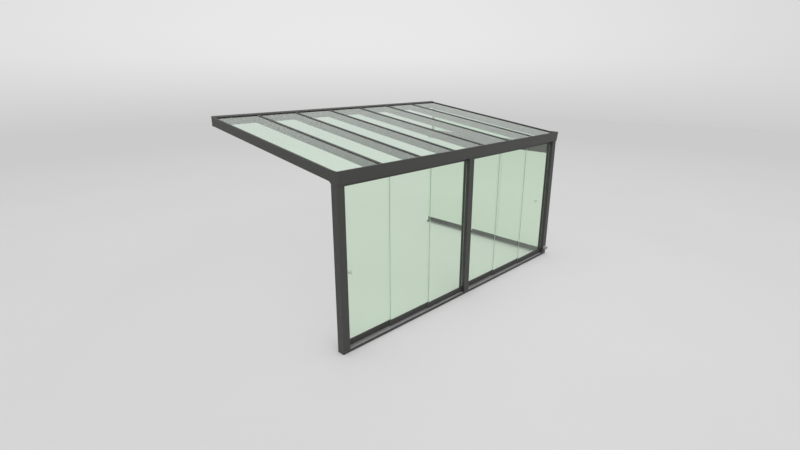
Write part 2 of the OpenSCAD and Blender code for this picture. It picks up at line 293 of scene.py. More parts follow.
def powder_coat(name, colour, rough=0.5):
    """Baked powder coating: a fine orange-peel skin, faint clouds in its tone, streaks where
    rain runs down, and a breath of dust on what faces the sky."""
    material, tree, shader = new_material(name)
    place = add(tree, "TexCoord").outputs["Object"]
    clouds = add(tree, "TexNoise", Vector=place, Scale=2.4, Detail=4.0, Roughness=0.6).outputs["Fac"]
    upright = add(tree, "Mapping", Vector=place, Scale=(38.0, 38.0, 0.8)).outputs["Vector"]
    streaks = add(tree, "TexNoise", Vector=upright, Scale=1.0, Detail=5.0, Roughness=0.55).outputs["Fac"]
    peel = add(tree, "TexNoise", Vector=place, Scale=1.0 / PEEL_SIZE, Detail=2.0).outputs["Fac"]
    tone = blend(tree, spread(tree, clouds, 0.3, 0.7), shade(colour, 0.94), shade(colour, 1.06))
    run = sum_of(tree, "MULTIPLY", spread(tree, streaks, 0.52, 0.8), 0.16)
    tone = blend(tree, run, tone, shade(colour, 1.5))
    dust_spots = spread(tree, clouds, 0.42, 0.75, 0.0, 0.04)
    dust = sum_of(tree, "MULTIPLY", facing_up(tree), dust_spots)
    tone = blend(tree, dust, tone, DUST)
    join(tree, tone, shader.inputs["Base Color"])
    dull = sum_of(tree, "ADD", spread(tree, streaks, 0.3, 0.8, rough - 0.05, rough + 0.06), dust)
    join(tree, dull, shader.inputs["Roughness"])
    skin_bump = add(tree, "Bump", Height=peel, Strength=0.22, Distance=0.00012)
    join(tree, skin_bump.outputs["Normal"], shader.inputs["Normal"])
    return material


coat = powder_coat("anthracite_coat", COAT)


def new_piece(name, mesh, finishes, body="frame"):
    """Makes an object of a mesh, gives it its finishes and its body."""
    mesh.materials.clear()
    for finish in finishes:
        mesh.materials.append(finish)
    piece = bpy.data.objects.new(name, mesh)
    bpy.context.scene.collection.objects.link(piece)
    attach(piece, body)
    return piece


def eased_mesh(node):
    """A copy of a CAD piece's mesh with its loose triangles merged and its flat neighbours
    dissolved, so that only true edges are left."""
    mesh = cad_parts[node].data.copy()
    shape = bmesh.new()
    shape.from_mesh(mesh)
    bmesh.ops.remove_doubles(shape, verts=shape.verts, dist=1e-5)
    bmesh.ops.dissolve_limit(shape, angle_limit=math.radians(0.5), verts=shape.verts, edges=shape.edges)
    bmesh.ops.recalc_face_normals(shape, faces=shape.faces)
    shape.to_mesh(mesh)
    shape.free()
    if "custom_normal" in mesh.attributes:
        mesh.attributes.remove(mesh.attributes["custom_normal"])
    mesh.shade_smooth()
    return mesh


def eased_piece(node, name, edge, finishes, body="frame"):
    """The CAD piece with every sharp edge rounded by a small radius, as a die or a file leaves
    it. It stands for the CAD piece."""
    piece = new_piece(name, eased_mesh(node), finishes, body)
    bevel = piece.modifiers.new("eased_edges", "BEVEL")
    bevel.width = edge
    bevel.segments = 2
    bevel.limit_method = "ANGLE"
    bevel.angle_limit = math.radians(35)
    bevel.harden_normals = True
    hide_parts(node)
    return piece


TUBE_EDGE = 0.0014
for side in ("left", "center", "right"):
    eased_piece("post_" + side, side + "_post", TUBE_EDGE, [coat])


# ---- Drain spout ------------------------------------------------------------------------
# A short turned aluminium tube through the front of the right post, with a collar on the
# post's face and a rolled lip. It takes a 56 mm pipe and is left in its mill finish.
def corners_of(node):
    """The lowest and highest corner of a CAD piece, as arrays."""
    low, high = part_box(node)
    return np.array(low), np.array(high)


def turned(profile, sides=48):
    """A surface of two parameters: each profile point, a radius and a height, runs once round
    the Z axis, so a point is (radius cos a, radius sin a, height)."""
    turn = np.arange(sides) * (2 * math.pi / sides)
    radius, rise = np.asarray(profile, float).T
    flat = np.stack([np.outer(radius, np.cos(turn)), np.outer(radius, np.sin(turn))], -1)
    return np.concatenate([flat, np.broadcast_to(rise[:, None, None], flat.shape[:2] + (1,))], -1)


def stood(grid, foot, axis):
    """Stands a turned grid on a foot point, with its Z axis along the given axis."""
    axis = np.asarray(axis, float)
    side = np.cross(axis, (0.0, 0.0, 1.0)) if abs(axis[2]) < 0.9 else np.array((1.0, 0.0, 0.0))
    basis = np.stack([side, np.cross(axis, side), axis])
    return grid @ basis + np.asarray(foot, float)


def bare_metal(name, colour, rough, brushed=(1.0, 1.0, 1.0), metallic=1.0):
    """Uncoated metal: faint clouds in its tone and a fine grain in its gloss, which can be drawn
    out along one direction, as on an extrusion."""
    material, tree, shader = new_material(name)
    place = add(tree, "TexCoord").outputs["Object"]
    lines = add(tree, "Mapping", Vector=place, Scale=brushed).outputs["Vector"]
    grain = add(tree, "TexNoise", Vector=lines, Scale=420.0, Detail=4.0).outputs["Fac"]
    clouds = add(tree, "TexNoise", Vector=place, Scale=30.0, Detail=3.0).outputs["Fac"]
    tone = blend(tree, spread(tree, clouds, 0.3, 0.7), shade(colour, 0.9), shade(colour, 1.08))
    join(tree, tone, shader.inputs["Base Color"])
    join(tree, spread(tree, grain, 0.3, 0.7, rough - 0.07, rough + 0.07), shader.inputs["Roughness"])
    shader.inputs["Metallic"].default_value = metallic
    bump = add(tree, "Bump", Height=grain, Strength=0.15, Distance=0.00005)
    join(tree, bump.outputs["Normal"], shader.inputs["Normal"])
    return material


mill_aluminium = bare_metal("mill_aluminium", (0.50, 0.50, 0.505, 1.0), 0.42, (1.0, 0.05, 1.0), 0.3)

spout_low, spout_high = corners_of("drain_spout")
spout_middle = (spout_low + spout_high) / 2
spout_foot = (spout_middle[0], spout_high[1], spout_middle[2])
spout_long = spout_high[1] - spout_low[1]
TUBE, BORE, COLLAR, LIP = 0.0297, 0.0280, 0.0337, 0.0308
spout_profile = [
    (BORE, 0.0), (TUBE, 0.0), (TUBE, 0.0061), (COLLAR - 0.001, 0.0061), (COLLAR, 0.0071),
    (COLLAR, 0.0089), (COLLAR - 0.001, 0.0099), (TUBE + 0.0008, 0.0099), (TUBE, 0.0107),
    (TUBE, spout_long - 0.006), (LIP, spout_long - 0.005), (LIP + 0.0003, spout_long - 0.003),
    (LIP, spout_long - 0.001), (TUBE, spout_long), (BORE + 0.0004, spout_long - 0.0004),
    (BORE, spout_long - 0.0012),
]
spout_grid = stood(turned(spout_profile, 64), spout_foot, (0.0, -1.0, 0.0))
spout = new_piece("rain_spout", build_mesh("rain_spout", [skin(spout_grid, closed_rows=True)]),
                  [mill_aluminium])
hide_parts("drain_spout")


# ---- Gutter -----------------------------------------------------------------------------
# An extruded trough as deep as a beam, which also carries the rafters. Its front leans out
# to a folded lip, flat plates close its ends, and a barred guard keeps leaves off the outlet.
PROFILE_EDGE = 0.0012
PLATE_EDGE = 0.0008
GUTTER_WALL = 0.003
eased_piece("gutter", "gutter_trough", PROFILE_EDGE, [coat])
eased_piece("gutter_ends", "gutter_end_plates", PLATE_EDGE, [coat])


def rounded(corners, radius, steps=3):
    """A closed outline with round corners. Each corner becomes an arc that touches both of its
    sides: its centre lies on the corner's bisector at radius / sin(half the corner's angle)."""
    corners = np.asarray(corners, float)
    to_last = np.roll(corners, 1, 0) - corners
    to_next = np.roll(corners, -1, 0) - corners
    to_last /= np.linalg.norm(to_last, axis=1, keepdims=True)
    to_next /= np.linalg.norm(to_next, axis=1, keepdims=True)
    half = np.arccos(np.clip((to_last * to_next).sum(1), -1, 1)) / 2
    middle = to_last + to_next
    middle /= np.linalg.norm(middle, axis=1, keepdims=True)
    centre = corners + middle * (radius / np.sin(half))[:, None]
    reach = (radius / np.tan(half))[:, None]
    first, last = corners + to_last * reach - centre, corners + to_next * reach - centre
    sweep = (math.pi - 2 * half)[:, None, None]
    share = np.linspace(0, 1, steps + 1)[None, :, None]
    arc = np.sin((1 - share) * sweep) * first[:, None] + np.sin(share * sweep) * last[:, None]
    return (centre[:, None] + arc / np.sin(sweep)).reshape(-1, 2)


def carried(outline, stations, across, up):
    """A profile carried along a path: the point (a, b) of the outline stands at each station
    plus a times across plus b times up."""
    stations, across, up = (np.asarray(part, float) for part in (stations, across, up))
    return stations[:, None] + outline[None, :, :1] * across + outline[None, :, 1:] * up


def oblong(low, high, radius=0.0008):
    """The rounded outline of an upright oblong between two corners."""
    return rounded([(low[0], low[1]), (high[0], low[1]), (high[0], high[1]), (low[0], high[1])], radius)


def dark_plastic():
    """Moulded black plastic with a spark-eroded grain and slightly faded high spots."""
    material, tree, shader = new_material("moulded_plastic")
    place = add(tree, "TexCoord").outputs["Object"]
    grain = add(tree, "TexVoronoi", Vector=place, Scale=900.0).outputs["Distance"]
    fade = add(tree, "TexNoise", Vector=place, Scale=18.0, Detail=3.0).outputs["Fac"]
    black, worn_black = (0.018, 0.018, 0.018, 1.0), (0.032, 0.031, 0.03, 1.0)
    tone = blend(tree, spread(tree, fade, 0.35, 0.7), black, worn_black)
    join(tree, tone, shader.inputs["Base Color"])
    join(tree, spread(tree, fade, 0.3, 0.7, 0.45, 0.6), shader.inputs["Roughness"])
    bump = add(tree, "Bump", Height=grain, Strength=0.2, Distance=0.0001)
    join(tree, bump.outputs["Normal"], shader.inputs["Normal"])
    return material


plastic = dark_plastic()

# The leaf guard: a ring round the outlet and a small cap, with bars that rise from the one to
# the other in a quarter of an ellipse
GUARD_BARS = 10
BAR_OUT, BAR_SPAN = 0.010, 0.023
BAR_FOOT, BAR_RISE = 0.002, 0.025
UP = (0, 0, 1)
guard_foot = np.array((spout_foot[0], 0.0, corners_of("gutter")[0][2] + GUTTER_WALL))
guard_ring = turned([
    (0.029, 0.0), (0.040, 0.0), (0.040, 0.0015), (0.037, 0.003), (0.031, 0.003), (0.029, 0.002),
])
guard_cap = turned([(0.0, 0.030), (0.008, 0.030), (0.012, 0.028), (0.012, 0.026), (0.0, 0.026)], 24)
guard_parts = [
    skin(stood(guard_ring, guard_foot, UP), closed_rows=True),
    skin(stood(guard_cap, guard_foot, UP), capped=False),
]
bar_section = oblong((-0.0012, -0.001), (0.0012, 0.001), 0.0004)
bar_bow = np.linspace(0, math.pi / 2, 7)
bar_out = BAR_OUT + BAR_SPAN * np.cos(bar_bow)
bar_up = BAR_FOOT + BAR_RISE * np.sin(bar_bow)
for bar in range(GUARD_BARS):
    turn = bar * 2 * math.pi / GUARD_BARS
    out = np.array((math.cos(turn), math.sin(turn), 0.0))
    beside = np.array((-math.sin(turn), math.cos(turn), 0.0))
    line = guard_foot + np.outer(bar_out, out) + np.outer(bar_up, UP)
    guard_parts.append(skin(carried(bar_section, line, beside, UP)))
new_piece("outlet_leaf_guard", build_mesh("outlet_leaf_guard", guard_parts), [plastic])


# ---- Wall plate -------------------------------------------------------------------------
# The extruded beam along the house, screwed to the wall through its back leg, with end
# plates. The upper edges of the panes sit in its slot under a rubber lip.
PITCH = math.radians(7.85)
GLASS_DEPTH = 0.006
GLASS_THICK = 0.009
glass_low, glass_high = corners_of("roof_panes")


def roof_height(y, depth=0.0):
    """Height over y of the plane that lies depth under the top of the rafter covers, measured
    square to the roof: the panes' upper corner, moved by y times the tangent of the pitch."""
    top = glass_high[2] + (y - glass_high[1]) * math.tan(PITCH)
    return top + (GLASS_DEPTH - depth) / math.cos(PITCH)


def rubber():
    """Black extruded rubber: matt, with a fine grain and a faint grey bloom."""
    material, tree, shader = new_material("rubber")
    place = add(tree, "TexCoord").outputs["Object"]
    grain = add(tree, "TexNoise", Vector=place, Scale=700.0, Detail=2.0).outputs["Fac"]
    bloom = add(tree, "TexNoise", Vector=place, Scale=9.0, Detail=4.0).outputs["Fac"]
    black, greyed = (0.012, 0.012, 0.012, 1.0), (0.03, 0.03, 0.029, 1.0)
    tone = blend(tree, spread(tree, bloom, 0.4, 0.75), black, greyed)
    join(tree, tone, shader.inputs["Base Color"])
    join(tree, spread(tree, bloom, 0.3, 0.7, 0.6, 0.78), shader.inputs["Roughness"])
    bump = add(tree, "Bump", Height=grain, Strength=0.25, Distance=0.00015)
    join(tree, bump.outputs["Normal"], shader.inputs["Normal"])
    return material


black_rubber = rubber()
zinc_steel = bare_metal("zinc_steel", (0.55, 0.55, 0.53, 1.0), 0.38)

eased_piece("wall_plate", "wall_plate_beam", PROFILE_EDGE, [coat])
eased_piece("wall_plate_ends", "wall_plate_caps", PLATE_EDGE, [coat])

# The lip seal lies on the panes in the mouth of the slot, LIP_DEPTH under the roof plane
LIP_DEPTH = 0.0031
plate_low, plate_high = corners_of("wall_plate")
lip_front, lip_back = plate_low[1] + 0.0006, plate_low[1] + 0.009
lip_outline = rounded([
    (lip_front, roof_height(lip_front, GLASS_DEPTH) + 0.0001),
    (lip_back, roof_height(lip_back, GLASS_DEPTH) + 0.0001),
    (lip_back, roof_height(lip_back, LIP_DEPTH)),
    (lip_front, roof_height(lip_front, LIP_DEPTH)),
], 0.0006)
lip_ends = [(plate_low[0] + 0.0005, 0, 0), (plate_high[0] - 0.0005, 0, 0)]
lip = skin(carried(lip_outline, lip_ends, (0, 1, 0), UP))
new_piece("wall_plate_lip_seal", build_mesh("wall_plate_lip_seal", [lip]), [black_rubber])

# The seven frame screws in the plate's back leg: a hexagon head on a washer, behind each pane
PANES = 7
RAFTER_WIDE = 0.060
GLASS_INSET = 0.015
PLATE_WALL = 0.004
SCREW_LIFT = 0.030
bay = (glass_high[0] - glass_low[0] + 2 * GLASS_INSET - RAFTER_WIDE) / PANES
washer = turned([
    (0.0, 0.0), (0.0110, 0.0), (0.0115, 0.0005), (0.0115, 0.0015), (0.0110, 0.002), (0.0, 0.002),
], 40)
hexagon = turned([(0.0, 0.002), (0.0092, 0.002), (0.0092, 0.0078), (0.0080, 0.0086), (0.0, 0.0086)], 6)
screw_parts = []
for pane in range(PANES):
    screw_x = (pane - (PANES - 1) / 2) * bay
    screw_foot = (screw_x, plate_high[1] - PLATE_WALL, plate_low[2] + SCREW_LIFT)
    screw_parts += [skin(stood(part, screw_foot, (0, -1, 0)), capped=False) for part in (washer, hexagon)]
new_piece("wall_screw_heads", build_mesh("wall_screw_heads", screw_parts), [zinc_steel])


# ---- Rafters ----------------------------------------------------------------------------
# Box sections, 60 mm wide, from the gutter's back wall up to the wall plate, with a rib
# between the panes. Plastic caps close what shows of their lower ends above the gutter.
for number in range(1, PANES):
    eased_piece(f"rafter_{number}", f"rafter_tube_{number}", PROFILE_EDGE, [coat])
for side in ("left", "right"):
    eased_piece("end_rafter_" + side, "end_rafter_tube_" + side, PROFILE_EDGE, [coat])

# Depths of a rafter's top and underside below the roof plane, the fin along the roof's side,
# and the top of the gutter's back wall
RAFTER_TOP = 0.018
RAFTER_DEEP = 0.126
FIN = 0.012
GUTTER_BACK_TOP = 2.295
CAP_THICK = 0.0025
CAP_OFF = 0.0002
CAP_CLEAR = 0.0005
rafter_low, rafter_high = corners_of("rafter_1")
roof_half = corners_of("end_rafter_right")[1][0]


def rafter_middle(number):
    """Where the rafters stand: number 0 and 7 are the end rafters."""
    return -roof_half + RAFTER_WIDE / 2 + number * bay


cap_back = rafter_low[1] - CAP_OFF
cap_front = cap_back - CAP_THICK
cap_low, cap_high = GUTTER_BACK_TOP + CAP_CLEAR, roof_height(cap_front, RAFTER_TOP)
cap_parts = []
for number in range(PANES + 1):
    left, right = rafter_middle(number) - RAFTER_WIDE / 2, rafter_middle(number) + RAFTER_WIDE / 2
    left = left + FIN + CAP_CLEAR if number == 0 else left
    right = right - FIN - CAP_CLEAR if number == PANES else right
    cap_outline = oblong((left, cap_low), (right, cap_high), 0.002)
    cap_ends = [(0, cap_front, 0), (0, cap_back, 0)]
    cap_parts.append(skin(carried(cap_outline, cap_ends, (1, 0, 0), UP)))
new_piece("rafter_end_caps", build_mesh("rafter_end_caps", cap_parts), [plastic])


# ---- Glazing gaskets --------------------------------------------------------------------
# Black rubber strips bed the panes: thick ones on the rafters under the glass, and thin
# ones with a small bead under both edges of each cover.
UNDER_ROOF = np.array((0.0, 0.0, -1.0 / math.cos(PITCH)))


def down_slope(outline, y_low, y_high):
    """A profile of x and depth under the roof plane, carried from the eaves to the wall: each
    point stands at its x, lower than the plane by its depth over the cosine of the pitch."""
    stations = [(0.0, y_low, roof_height(y_low)), (0.0, y_high, roof_height(y_high))]
    return skin(carried(outline, stations, (1, 0, 0), UNDER_ROOF))


# How far each strip reaches from the rafter's middle. The covers along the roof's sides are
# narrower, and so their beads lie further in.
BED_REACH = (0.010, 0.027)
BEAD_REACH = (0.018, 0.0258)
SIDE_BEAD_REACH = (-0.006, 0.0008)
COVER_THICK = 0.005
TOUCH = 0.00005
roof_y = (rafter_low[1] + 0.001, rafter_high[1] - 0.0005)
bed_depth = (GLASS_DEPTH + GLASS_THICK + TOUCH, RAFTER_TOP - TOUCH)
bead_depth = (COVER_THICK + TOUCH, GLASS_DEPTH - TOUCH)
bed_parts, bead_parts = [], []
for number in range(PANES + 1):
    middle = rafter_middle(number)
    for way in (-1, 1):
        outermost = (number == 0 and way < 0) or (number == PANES and way > 0)
        if outermost:
            continue
        bed = sorted(middle + way * reach for reach in BED_REACH)
        bed_parts.append(down_slope(oblong((bed[0], bed_depth[0]), (bed[1], bed_depth[1])), *roof_y))
        bead_reach = SIDE_BEAD_REACH if number in (0, PANES) else BEAD_REACH
        bead = sorted(middle + way * reach for reach in bead_reach)
        bead_outline = oblong((bead[0], bead_depth[0]), (bead[1], bead_depth[1]), 0.0003)
        bead_parts.append(down_slope(bead_outline, glass_low[1] + 0.001, roof_y[1]))
new_piece("glazing_beds", build_mesh("glazing_beds", bed_parts), [black_rubber])
new_piece("glazing_beads", build_mesh("glazing_beads", bead_parts), [black_rubber])


# ---- Roof glass -------------------------------------------------------------------------
# Seven laminated panes, 9 mm thick, with a green tint and ground, arrissed edges. They run
# from the wall plate's slot down over the gutter.
def clear_glass(name, tint, ripple, index=1.5):
    """Float glass: two clean faces, the tint of its thickness, and the long faint waves that
    the toughening oven leaves. Light for the shadows passes almost untinted."""
    material, tree, shader = new_material(name)
    place = add(tree, "TexCoord").outputs["Object"]
    waves = add(tree, "TexNoise", Vector=place, Scale=3.5, Detail=1.0).outputs["Fac"]
    shader.inputs["Base Color"].default_value = tint
    shader.inputs["Transmission Weight"].default_value = 1.0
    shader.inputs["IOR"].default_value = index
    shader.inputs["Roughness"].default_value = 0.0
    bump = add(tree, "Bump", Height=waves, Strength=ripple, Distance=0.0004)
    join(tree, bump.outputs["Normal"], shader.inputs["Normal"])
    through = add(tree, "BsdfTransparent", Color=(0.99, 0.997, 0.99, 1.0))
    path = add(tree, "LightPath").outputs
    passing = sum_of(tree, "MAXIMUM", path["Is Shadow Ray"], path["Is Diffuse Ray"])
    mixed = add(tree, "MixShader", Fac=passing)
    tree.links.new(shader.outputs[0], mixed.inputs[1])
    tree.links.new(through.outputs[0], mixed.inputs[2])
    output = next(part for part in tree.nodes if part.type == "OUTPUT_MATERIAL")
    tree.links.new(mixed.outputs[0], output.inputs["Surface"])
    return material


def ground_edge():
    """The ground edge of a pane, where the depth of the glass shows as a dull sea green."""
    material, tree, shader = new_material("ground_glass_edge")
    place = add(tree, "TexCoord").outputs["Object"]
    grind = add(tree, "TexNoise", Vector=place, Scale=260.0, Detail=3.0).outputs["Fac"]
    deep_green, pale_green = (0.58, 0.73, 0.61, 1.0), (0.68, 0.82, 0.70, 1.0)
    tone = blend(tree, spread(tree, grind, 0.35, 0.7), deep_green, pale_green)
    join(tree, tone, shader.inputs["Base Color"])
    join(tree, spread(tree, grind, 0.3, 0.7, 0.22, 0.4), shader.inputs["Roughness"])
    shader.inputs["Transmission Weight"].default_value = 0.6
    shader.inputs["IOR"].default_value = 1.5
    return material


# The roof's glass has a lower index than real glass, so that it mirrors less at a flat angle
ROOF_TINT = (0.82, 0.99, 0.835, 1.0)
WALL_TINT = (0.835, 0.99, 0.818, 1.0)
SIDE_TINT = (0.94, 0.99, 0.937, 1.0)
ROOF_INDEX = 1.3
ROOF_RIPPLE = 0.004
WALL_RIPPLE = 0.01
roof_glass = clear_glass("roof_glass", ROOF_TINT, ROOF_RIPPLE, ROOF_INDEX)
wall_glass = clear_glass("wall_glass", WALL_TINT, WALL_RIPPLE)
side_glass = clear_glass("side_glass", SIDE_TINT, WALL_RIPPLE)
glass_edge = ground_edge()
ARRIS = 0.0008


def face_vectors(mesh, name):
    """A vector of every face, its normal or its center, one row for each face."""
    values = np.zeros(len(mesh.polygons) * 3)
    mesh.polygons.foreach_get(name, values)
    return values.reshape(-1, 3)


def set_finishes(piece, numbers):
    """Gives every face the finish of its number, and the arrises the ground edge's."""
    piece.data.polygons.foreach_set("material_index", numbers.astype(np.int32))
    piece.modifiers["eased_edges"].material = 1


def glass_piece(node, name, faces_along, glass, body="frame"):
    """A pane or sheet with arrissed edges. Faces square to the given direction are clear, and
    the narrow faces round them are ground."""
    piece = eased_piece(node, name, ARRIS, [glass, glass_edge], body)
    narrow = np.abs(face_vectors(piece.data, "normal") @ np.asarray(faces_along)) < 0.9
    set_finishes(piece, narrow)


roof_normal = (0.0, -math.sin(PITCH), math.cos(PITCH))
glass_piece("roof_panes", "roof_glass_panes", roof_normal, roof_glass)


# ---- Rafter covers ----------------------------------------------------------------------
# Extruded cover strips, 50 mm wide over the rafters and 18 mm along the sides, clipped down
# over the panes. A plastic plug closes the lower end of each and stops the glass.
eased_piece("rafter_covers", "cover_strips", PROFILE_EDGE, [coat])

PLUG_HALF = 0.0245
PLUG_DEPTH = (0.0005, 0.0165)
PLUG_LONG = 0.0023
plug_end = corners_of("rafter_covers")[0][1] - 0.0001
plug_parts = []
for number in range(1, PANES):
    middle = rafter_middle(number)
    plug_outline = oblong((middle - PLUG_HALF, PLUG_DEPTH[0]), (middle + PLUG_HALF, PLUG_DEPTH[1]), 0.0015)
    plug_parts.append(down_slope(plug_outline, plug_end - PLUG_LONG, plug_end))
new_piece("cover_end_plugs", build_mesh("cover_end_plugs", plug_parts), [plastic])


# ---- Floor tracks -----------------------------------------------------------------------
# Extruded floor rails, 110 mm deep, with a lip on each side and three running ribs. The
# coating on their floor is rubbed down to the bright metal by the rollers and by sweeping,
# and a band on the inner lip's back face is bare, where the paving's edge strip clips on.
TRACK_EDGE = 0.0008
BARE = (0.60, 0.60, 0.605, 1.0)
# Heights of the worn floor and of the bare band
TRACK_FLOOR = (0.0235, 0.0330)
BARE_BAND = (0.006, 0.022)
back_of_front = corners_of("rail_front_left")[1][1]
back_of_side = corners_of("rail_side")[0][0]


def track_finish():
    """Powder coating outside, worn bare aluminium on the floor between the lips, and a band
    of bare aluminium on the back face over the coated foot. Each lies between two heights."""
    material, tree, shader = new_material("track_finish")
    place = add(tree, "TexCoord").outputs["Object"]
    parted = add(tree, "SeparateXYZ", Vector=place).outputs
    floor_zone, band = (
        sum_of(tree, "MULTIPLY", spread(tree, parted["Z"], low, low + 0.001),
               spread(tree, parted["Z"], high, high + 0.001, 1.0, 0.0))
        for low, high in (TRACK_FLOOR, BARE_BAND)
    )
    scuffs = add(tree, "TexNoise", Vector=place, Scale=45.0, Detail=6.0, Roughness=0.7).outputs["Fac"]
    clouds = add(tree, "TexNoise", Vector=place, Scale=2.4, Detail=4.0).outputs["Fac"]
    zone = sum_of(tree, "MULTIPLY", floor_zone, facing_up(tree))
    worn = sum_of(tree, "MULTIPLY", zone, spread(tree, scuffs, 0.3, 0.5, 0.86, 1.0))
    dull, bright = (0.40, 0.40, 0.405, 1.0), (0.48, 0.48, 0.485, 1.0)
    metal = blend(tree, spread(tree, scuffs, 0.35, 0.7), dull, bright)
    paint = blend(tree, spread(tree, clouds, 0.3, 0.7), shade(COAT, 0.94), shade(COAT, 1.08))
    backs = []
    for axis, face in (("Y", back_of_front), ("X", back_of_side)):
        off = sum_of(tree, "ABSOLUTE", sum_of(tree, "SUBTRACT", parted[axis], face), 0.0)
        backs.append(spread(tree, off, 0.0002, 0.0006, 1.0, 0.0))
    back = sum_of(tree, "MULTIPLY", sum_of(tree, "MAXIMUM", *backs), band)
    tone = blend(tree, back, blend(tree, worn, paint, metal), BARE)
    join(tree, tone, shader.inputs["Base Color"])
    join(tree, sum_of(tree, "MULTIPLY", worn, 0.35), shader.inputs["Metallic"])
    join(tree, spread(tree, scuffs, 0.3, 0.7, 0.44, 0.56), shader.inputs["Roughness"])
    bump = add(tree, "Bump", Height=scuffs, Strength=0.12, Distance=0.0001)
    join(tree, bump.outputs["Normal"], shader.inputs["Normal"])
    return material


track = track_finish()
for node, name in (("rail_front_left", "front_track_left"), ("rail_front_right", "front_track_right"),
                   ("rail_side", "side_track")):
    eased_piece(node, name, TRACK_EDGE, [track])


# ---- Side beam and wedge ----------------------------------------------------------------
# A box beam carries the side's guide rail. Over it a slim frame with one sheet of glass,
# held between rubber strips, fills the wedge up to the end rafter.
WEDGE_EDGE = 0.0010
eased_piece("side_beam", "side_header_beam", TUBE_EDGE, [coat])
eased_piece("wedge_frame", "wedge_glazing_frame", WEDGE_EDGE, [coat])
glass_piece("wedge_glass", "wedge_glass_sheet", (1.0, 0.0, 0.0), roof_glass)

wedge_low, wedge_high = corners_of("wedge_glass")


def mitred(corners, profile):
    """A profile of inset and height carried round a closed outline in the Y-Z plane, with
    mitred corners: a point lies on its corner plus inset times the sum of the two inward
    normals over one plus their product, and height along X."""
    corners, profile = np.asarray(corners, float), np.asarray(profile, float)
    side = np.roll(corners, -1, 0) - corners
    side /= np.linalg.norm(side, axis=1, keepdims=True)
    inward = np.stack([-side[:, 1], side[:, 0]], 1)
    before = np.roll(inward, 1, 0)
    mitre = (inward + before) / (1 + (inward * before).sum(1, keepdims=True))
    flat = corners[:, None] + profile[None, :, :1] * mitre[:, None]
    along = np.broadcast_to(profile[None, :, 1:], flat.shape[:2] + (1,))
    return np.concatenate([along, flat], -1)


WEDGE_BAR = 0.012
GLASS_HALF = 0.004
STRIP_OFF = GLASS_HALF + 0.0001
wedge_middle = (wedge_low[0] + wedge_high[0]) / 2
wedge_corners = [
    (wedge_low[1], wedge_low[2]),
    (wedge_high[1], wedge_low[2]),
    (wedge_high[1], roof_height(wedge_high[1], RAFTER_DEEP) - WEDGE_BAR),
    (wedge_low[1], roof_height(wedge_low[1], RAFTER_DEEP) - WEDGE_BAR),
]
wedge_parts = []
for way in (-1, 1):
    face = wedge_middle + way * STRIP_OFF
    strip = [(0.0, face), (0.0055, face), (0.0042, face + way * 0.0022), (0.0, face + way * 0.0034)]
    wedge_parts.append(skin(mitred(wedge_corners, strip), closed_rows=True))
wedge_strips = build_mesh("wedge_glazing_strips", wedge_parts)
new_piece("wedge_glazing_strips", wedge_strips, [black_rubber])


# ---- Guide rails ------------------------------------------------------------------------
# Thin-walled extrusions under the gutter and the side beam with three channels for the tops
# of the sheets. Strips of brush pile line the mouths and keep the glass from rattling.
GUIDE_EDGE = 0.0003
eased_piece("top_rails", "guide_rails", GUIDE_EDGE, [coat])


def brush_pile():
    """Short upright black fibres: streaked across the strip, matt, with a soft sheen."""
    material, tree, shader = new_material("brush_pile")
    place = add(tree, "TexCoord").outputs["Object"]
    upright = add(tree, "Mapping", Vector=place, Scale=(1.0, 1.0, 0.06)).outputs["Vector"]
    fibres = add(tree, "TexNoise", Vector=upright, Scale=2600.0, Detail=2.0).outputs["Fac"]
    gap_black, fibre_black = (0.010, 0.010, 0.010, 1.0), (0.05, 0.05, 0.048, 1.0)
    tone = blend(tree, spread(tree, fibres, 0.35, 0.65), gap_black, fibre_black)
    join(tree, tone, shader.inputs["Base Color"])
    join(tree, spread(tree, fibres, 0.3, 0.7, 0.8, 0.95), shader.inputs["Roughness"])
    shader.inputs["Sheen Weight"].default_value = 0.3
    bump = add(tree, "Bump", Height=fibres, Strength=0.5, Distance=0.0004)
    join(tree, bump.outputs["Normal"], shader.inputs["Normal"])
    return material


TRACKS = 3
TRACK_PITCH = 0.017
CHANNEL_HALF = 0.0077
GUIDE_HIGH = 0.040
PILE_HEIGHT = (0.0005, 0.0065)
PILE_END = 0.001
first_track = corners_of("sheet_left_outer")[0][1] + GLASS_HALF - 2 * TRACK_PITCH
side_track = corners_of("sheet_side_front")[0][0] + GLASS_HALF
bay_start, bay_end = corners_of("post_left")[1][0], corners_of("post_center")[0][0]
side_start, side_end = (corner[1] for corner in corners_of("rail_side"))
front_mouth = corners_of("gutter")[0][2] - GUIDE_HIGH
side_mouth = corners_of("side_beam")[0][2] - GUIDE_HIGH
pile_parts = []
for lane in range(TRACKS):
    front, side = first_track + lane * TRACK_PITCH, side_track + lane * TRACK_PITCH
    channels = [
        (front_mouth, (bay_start, front, 0), (bay_end, front, 0), (0, 1, 0)),
        (front_mouth, (-bay_end, front, 0), (-bay_start, front, 0), (0, 1, 0)),
        (side_mouth, (side, side_start, 0), (side, side_end, 0), (1, 0, 0)),
    ]
    for way in (-1, 1):
        gap = sorted((way * (GLASS_HALF + 0.0004), way * (CHANNEL_HALF - 0.0001)))
        for mouth, first, last, across in channels:
            first, last = np.array(first), np.array(last)
            inset = (last - first) / np.linalg.norm(last - first) * PILE_END
            pile_low, pile_high = (mouth + height for height in PILE_HEIGHT)
            pile_outline = oblong((gap[0], pile_low), (gap[1], pile_high), 0.0005)
            pile_parts.append(skin(carried(pile_outline, [first + inset, last - inset], across, UP)))
new_piece("guide_brushes", build_mesh("guide_brushes", pile_parts), [brush_pile()])


